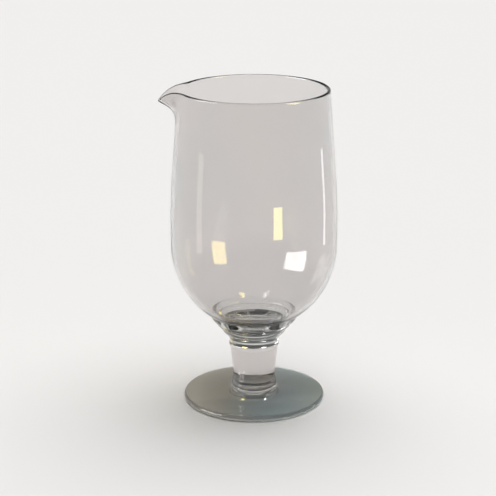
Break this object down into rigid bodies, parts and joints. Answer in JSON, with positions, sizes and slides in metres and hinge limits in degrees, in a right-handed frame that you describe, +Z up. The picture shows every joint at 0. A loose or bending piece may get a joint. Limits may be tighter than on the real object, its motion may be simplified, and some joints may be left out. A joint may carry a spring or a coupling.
{
  "type": "footed mixing glass",
  "caption": "Tall clear glass bowl with a pulled pouring lip, on stacked rings, a collar, a short solid stem with a knop and a flat disc foot.",
  "frame": {"origin": "middle of the foot's flat underside", "axes": "+Z up along the axis of the glass, pouring lip along -X"},
  "size_m": [0.1102, 0.1038, 0.2],
  "materials": {
    "glass": "clear, fire polished, faintly grey"
  },
  "bodies": {
    "root": {"bowl": "glass", "upper_ring": "glass", "middle_ring": "glass", "lower_ring": "glass", "collar": "glass", "stem": "glass", "stem_knop": "glass", "foot": "glass"}
  },
  "joints": []
}
